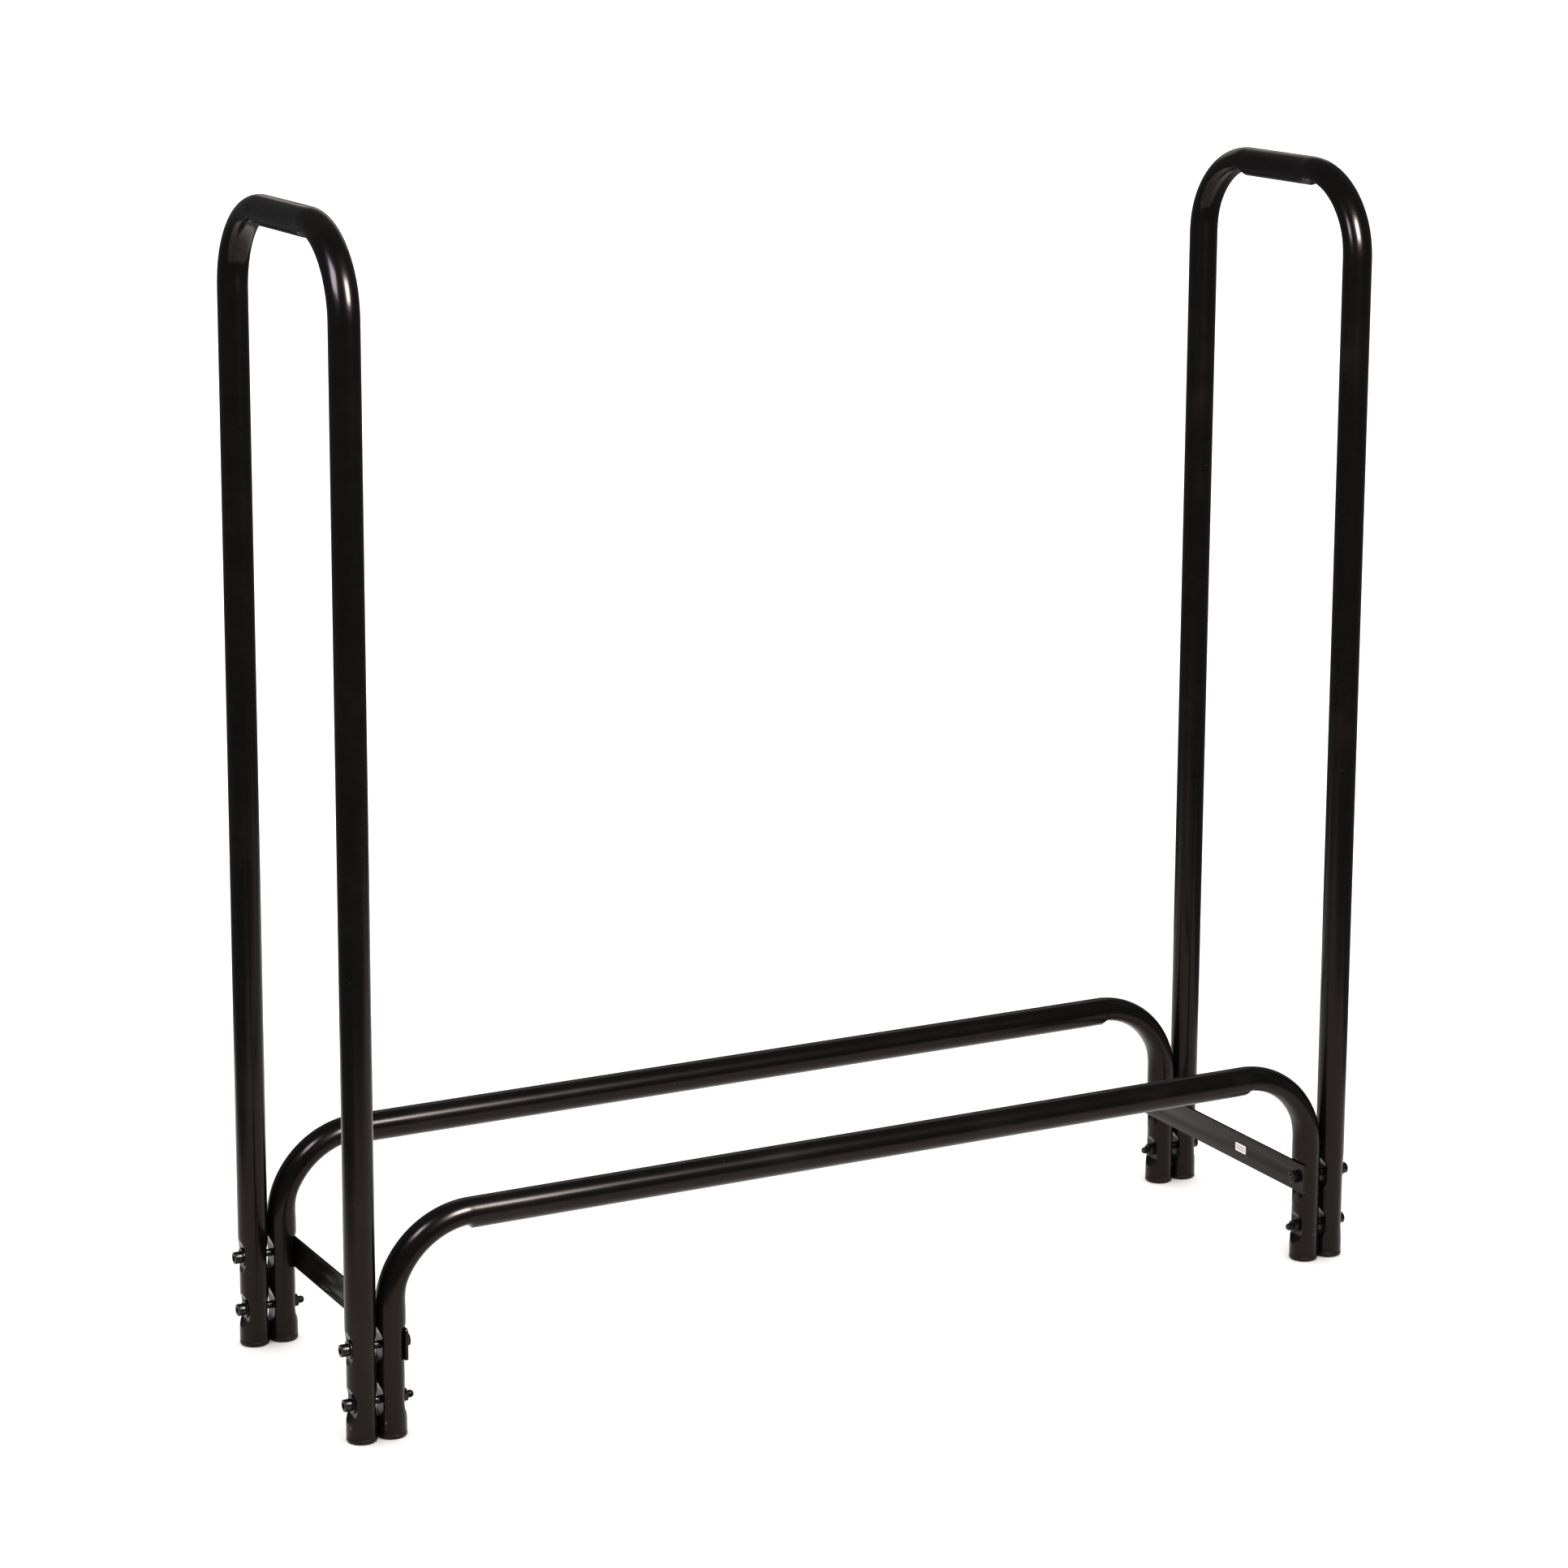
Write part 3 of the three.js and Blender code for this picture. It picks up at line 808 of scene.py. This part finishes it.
def powder_coat_material():
    """Powder-coated steel, a baked black polyester coat: a satin skin with a faint orange peel,
    which breaks long reflections up softly, and a little dust and a few rubs near the feet."""
    made = bpy.data.materials.get("satin_black_powder_coat")
    if made:
        return made
    material, tree, shader = new_material("satin_black_powder_coat")
    place = add_node(tree, "ShaderNodeTexCoord").outputs["Object"]
    height = add_node(tree, "ShaderNodeSeparateXYZ", None, {"Vector": place}).outputs["Z"]
    cloud = noise_of(tree, place, 60, 3.0)
    fine_cloud = noise_of(tree, place, 9, 4.0, 0.6)
    specks = specks_of(tree, place, 11, 0.55, 0.16)
    # scuffs: thin curved lines where a slow noise crosses its middle value, in patches near the feet
    from_middle = maths(tree, "ABSOLUTE", maths(tree, "SUBTRACT", noise_of(tree, place, 14, 1.5), 0.5))
    patches = ramp(tree, noise_of(tree, place, 7, 1.0), 0.63, 0.67)
    near_foot = ramp(tree, height, 0.06, 0.03)
    rubs = maths(tree, "MULTIPLY", maths(tree, "MULTIPLY", ramp(tree, from_middle, 0.009, 0.003), patches),
                 maths(tree, "MULTIPLY", near_foot, 0.5))
    dust_cloud = maths(tree, "MULTIPLY", ramp(tree, cloud, 0.5, 0.8), 0.012)
    marks = maths(tree, "MAXIMUM", dust_cloud, rubs)
    dust = maths(tree, "MAXIMUM", maths(tree, "MULTIPLY", specks, 0.35), marks)
    base = mix_colour(tree, ramp(tree, fine_cloud, 0.35, 0.7), tuple(colours().powder_coat),
                      tuple(c * 0.8 for c in colours().powder_coat[:3]) + (1.0,))
    colour = mix_colour(tree, dust, base, tuple(colours().coat_dust))
    tree.links.new(colour, shader.inputs["Base Color"])
    rough = maths(tree, "MULTIPLY_ADD", ramp(tree, cloud, 0.3, 0.75), 0.04)
    rough.node.inputs[2].default_value = 0.19
    rough = maths(tree, "ADD", rough, maths(tree, "MULTIPLY", dust, 0.6))
    tree.links.new(rough, shader.inputs["Roughness"])
    shader.inputs["IOR"].default_value = 1.5
    shader.inputs["Specular IOR Level"].default_value = 0.16
    shader.inputs["Specular Tint"].default_value = linear_colour("#ffe2da")
    # real orange peel is 1 to 2 mm wide: it is drawn coarser, so that it shows as a soft unevenness
    peel = noise_of(tree, place, 9, 1.0)
    pits = noise_of(tree, place, 5, 0.0)
    surface = maths(tree, "MULTIPLY_ADD", peel, 0.8)
    tree.links.new(maths(tree, "MULTIPLY", pits, 0.2), surface.node.inputs[2])
    bump = add_node(tree, "ShaderNodeBump", None, {"Height": surface}, Strength=0.05, Distance=0.2 * MM)
    tree.links.new(bump.outputs["Normal"], shader.inputs["Normal"])
    return material


def hardware_material():
    """Black-oxide steel, tumbled and oiled: a dark metal with a soft sheen, a little worn to bare
    steel in fine mottles."""
    made = bpy.data.materials.get("black_oxide_steel")
    if made:
        return made
    material, tree, shader = new_material("black_oxide_steel")
    place = add_node(tree, "ShaderNodeTexCoord").outputs["Object"]
    mottle = noise_of(tree, place, 2.2, 5.0, 0.65)
    worn = maths(tree, "MULTIPLY", ramp(tree, mottle, 0.5, 0.78), 0.4)
    colour = mix_colour(tree, worn, tuple(colours().hardware), tuple(colours().hardware_worn))
    tree.links.new(colour, shader.inputs["Base Color"])
    shader.inputs["Metallic"].default_value = 0.85
    rough = maths(tree, "MULTIPLY_ADD", mottle, 0.22)
    rough.node.inputs[2].default_value = 0.2
    tree.links.new(rough, shader.inputs["Roughness"])
    bump = add_node(tree, "ShaderNodeBump", None, {"Height": noise_of(tree, place, 0.5, 2.0)},
                    Strength=0.12, Distance=0.05 * MM)
    tree.links.new(bump.outputs["Normal"], shader.inputs["Normal"])
    return material


def foot_cap_material():
    """Injection-moulded polyethylene, spark-eroded mould: a dull, slightly waxy black with a fine grain."""
    made = bpy.data.materials.get("moulded_black_polyethylene")
    if made:
        return made
    material, tree, shader = new_material("moulded_black_polyethylene")
    place = add_node(tree, "ShaderNodeTexCoord").outputs["Object"]
    grit = noise_of(tree, place, 0.9, 2.0)
    dust = maths(tree, "MULTIPLY", ramp(tree, noise_of(tree, place, 5, 5.0, 0.7), 0.55, 0.8), 0.04)
    colour = mix_colour(tree, dust, tuple(colours().foot_cap), tuple(colours().coat_dust))
    tree.links.new(colour, shader.inputs["Base Color"])
    rough = maths(tree, "MULTIPLY_ADD", grit, 0.2)
    rough.node.inputs[2].default_value = 0.3
    tree.links.new(rough, shader.inputs["Roughness"])
    shader.inputs["IOR"].default_value = 1.51
    shader.inputs["Specular IOR Level"].default_value = 0.18
    shader.inputs["Specular Tint"].default_value = linear_colour("#ffe2da")
    bump = add_node(tree, "ShaderNodeBump", None, {"Height": grit}, Strength=0.15, Distance=0.1 * MM)
    tree.links.new(bump.outputs["Normal"], shader.inputs["Normal"])
    return material


def label_material(middle, size):
    """Printed vinyl film: an off-white, half-gloss sticker with three rows of plain dark dashes."""
    material, tree, shader = new_material("printed_white_vinyl")
    place = add_node(tree, "ShaderNodeTexCoord").outputs["Object"]
    shifted = add_node(tree, "ShaderNodeVectorMath", {"operation": "SUBTRACT"}, {0: place})
    shifted.inputs[1].default_value = middle
    axes = add_node(tree, "ShaderNodeSeparateXYZ", None, {"Vector": shifted.outputs["Vector"]})
    across, up = axes.outputs["Y"], axes.outputs["Z"]
    row_count, margin = 3, 1.4 * MM
    row_pitch = (size.z - 2 * margin) / row_count
    row_place = maths(tree, "DIVIDE", maths(tree, "ADD", up, size.z / 2 - margin), row_pitch)
    from_row = maths(tree, "ABSOLUTE", maths(tree, "SUBTRACT", maths(tree, "FRACT", row_place), 0.5))
    in_row = maths(tree, "LESS_THAN", from_row, 0.2)
    in_block = maths(tree, "LESS_THAN", maths(tree, "ABSOLUTE", up), size.z / 2 - margin)
    in_margin = maths(tree, "LESS_THAN", maths(tree, "ABSOLUTE", across), size.y / 2 - margin)
    word_spot = add_node(tree, "ShaderNodeCombineXYZ", None, {
        "X": maths(tree, "DIVIDE", across, 2.2 * MM), "Y": maths(tree, "FLOOR", row_place)})
    words = add_node(tree, "ShaderNodeTexNoise", None, {"Vector": word_spot.outputs["Vector"]}, Scale=1.0)
    dashes = maths(tree, "GREATER_THAN", words.outputs["Fac"], 0.36)
    rows = maths(tree, "MULTIPLY", in_row, in_block)
    ink = maths(tree, "MULTIPLY", rows, maths(tree, "MULTIPLY", in_margin, dashes))
    tint = mix_colour(tree, noise_of(tree, place, 6), tuple(colours().label_face),
                      tuple(c * 0.94 for c in colours().label_face[:3]) + (1.0,))
    colour = mix_colour(tree, ink, tint, tuple(colours().label_ink))
    tree.links.new(colour, shader.inputs["Base Color"])
    shader.inputs["Roughness"].default_value = 0.38
    return material


def floor_material():
    """Matte white studio paint, rolled: pale, with the faintest unevenness."""
    material, tree, shader = new_material("matte_white_studio_paint")
    place = add_node(tree, "ShaderNodeTexCoord").outputs["Object"]
    colour = mix_colour(tree, noise_of(tree, place, 400, 3.0), tuple(colours().floor),
                        tuple(c * 0.97 for c in colours().floor[:3]) + (1.0,))
    tree.links.new(colour, shader.inputs["Base Color"])
    shader.inputs["Roughness"].default_value = 0.85
    return material


# ---------------------------------------------------------------- stage

def studio_world():
    """Plain white surroundings that light the rack evenly, but show only dimly in its gloss."""
    world = bpy.data.worlds.new("studio")
    world.use_nodes = True
    tree = world.node_tree
    ray = add_node(tree, "ShaderNodeLightPath")
    strength = add_node(tree, "ShaderNodeMapRange", None, {"Value": ray.outputs["Is Glossy Ray"]},
                        To_Min=1.6, To_Max=0.15)
    background = tree.nodes["Background"]
    background.inputs["Color"].default_value = linear_colour("#ffffff")
    tree.links.new(strength.outputs["Result"], background.inputs["Strength"])
    return world


def softbox(name, place, target, width, height, power, colour):
    """A rectangular soft lamp that faces a target, and shows only in the gloss of the rack."""
    light = bpy.data.lights.new(name, "AREA")
    light.shape = "RECTANGLE"
    light.size, light.size_y = width, height
    light.energy = power
    light.color = linear_colour(colour)[:3]
    lamp = bpy.data.objects.new(name, light)
    lamp.visible_camera = False
    lamp.visible_diffuse = False
    lamp.location = place
    lamp.rotation_euler = (Vector(target) - Vector(place)).to_track_quat("-Z", "Y").to_euler()
    bpy.context.scene.collection.objects.link(lamp)


class RACK_OT_set_stage(bpy.types.Operator):
    """Lays the pale floor, hangs the soft lamps and sets the camera"""
    bl_idname = "rack.set_stage"
    bl_label = "Set stage"

    def execute(self, context):
        scene = context.scene
        bm = bmesh.new()
        bmesh.ops.create_grid(bm, x_segments=2, y_segments=2, size=FLOOR_REACH)
        bmesh.ops.translate(bm, vec=(0, 0, CAD_BOX[0][2]), verts=bm.verts)
        mesh = bpy.data.meshes.new("studio_floor")
        bm.to_mesh(mesh)
        bm.free()
        floor = bpy.data.objects.new("studio_floor", mesh)
        mesh.materials.append(floor_material())
        scene.collection.objects.link(floor)

        scene.world = studio_world()
        scene.view_settings.view_transform = "Standard"

        top = CAD_BOX[1][2]
        aim = (0, 0, 0.8 * top)
        for name, place, (width, height), power, colour in LAMPS:
            softbox(name, place, aim, width, height, power, colour)

        data = bpy.data.cameras.new("camera")
        data.lens = CAMERA_LENS
        data.sensor_width = CAMERA_SENSOR
        data.shift_x, data.shift_y = CAMERA_SHIFT
        camera = bpy.data.objects.new("camera", data)
        camera.location = CAMERA_PLACE
        camera.rotation_euler = tuple(math.radians(a) for a in CAMERA_TURN)
        scene.collection.objects.link(camera)
        scene.camera = camera
        return {"FINISHED"}


# ---------------------------------------------------------------- add-on

OPERATORS = (
    RACK_OT_build_hoops,
    RACK_OT_build_rails,
    RACK_OT_build_braces,
    RACK_OT_build_bolts,
    RACK_OT_build_washers,
    RACK_OT_build_nuts,
    RACK_OT_build_foot_caps,
    RACK_OT_build_label,
    RACK_OT_set_stage,
)


class RACK_PT_sidebar(bpy.types.Panel):
    """Lists the rack's pieces, sizes and colours"""
    bl_idname = "RACK_PT_sidebar"
    bl_label = "Log Rack"
    bl_space_type = "VIEW_3D"
    bl_region_type = "UI"
    bl_category = "Log Rack"

    def draw(self, context):
        layout = self.layout
        for operator in OPERATORS:
            layout.operator(operator.bl_idname)
        for group in (context.scene.rack_sizes, context.scene.rack_colours):
            column = layout.column(align=True)
            for name in group.__annotations__:
                column.prop(group, name)


CLASSES = (RackSizes, RackColours, *OPERATORS, RACK_PT_sidebar)


def register():
    for item in CLASSES:
        bpy.utils.register_class(item)
    bpy.types.Scene.rack_sizes = PointerProperty(type=RackSizes)
    bpy.types.Scene.rack_colours = PointerProperty(type=RackColours)


def unregister():
    del bpy.types.Scene.rack_colours
    del bpy.types.Scene.rack_sizes
    for item in reversed(CLASSES):
        bpy.utils.unregister_class(item)


def main():
    register()
    for operator in OPERATORS:
        family, action = operator.bl_idname.split(".")
        getattr(getattr(bpy.ops, family), action)()


if __name__ == "__main__":
    main()
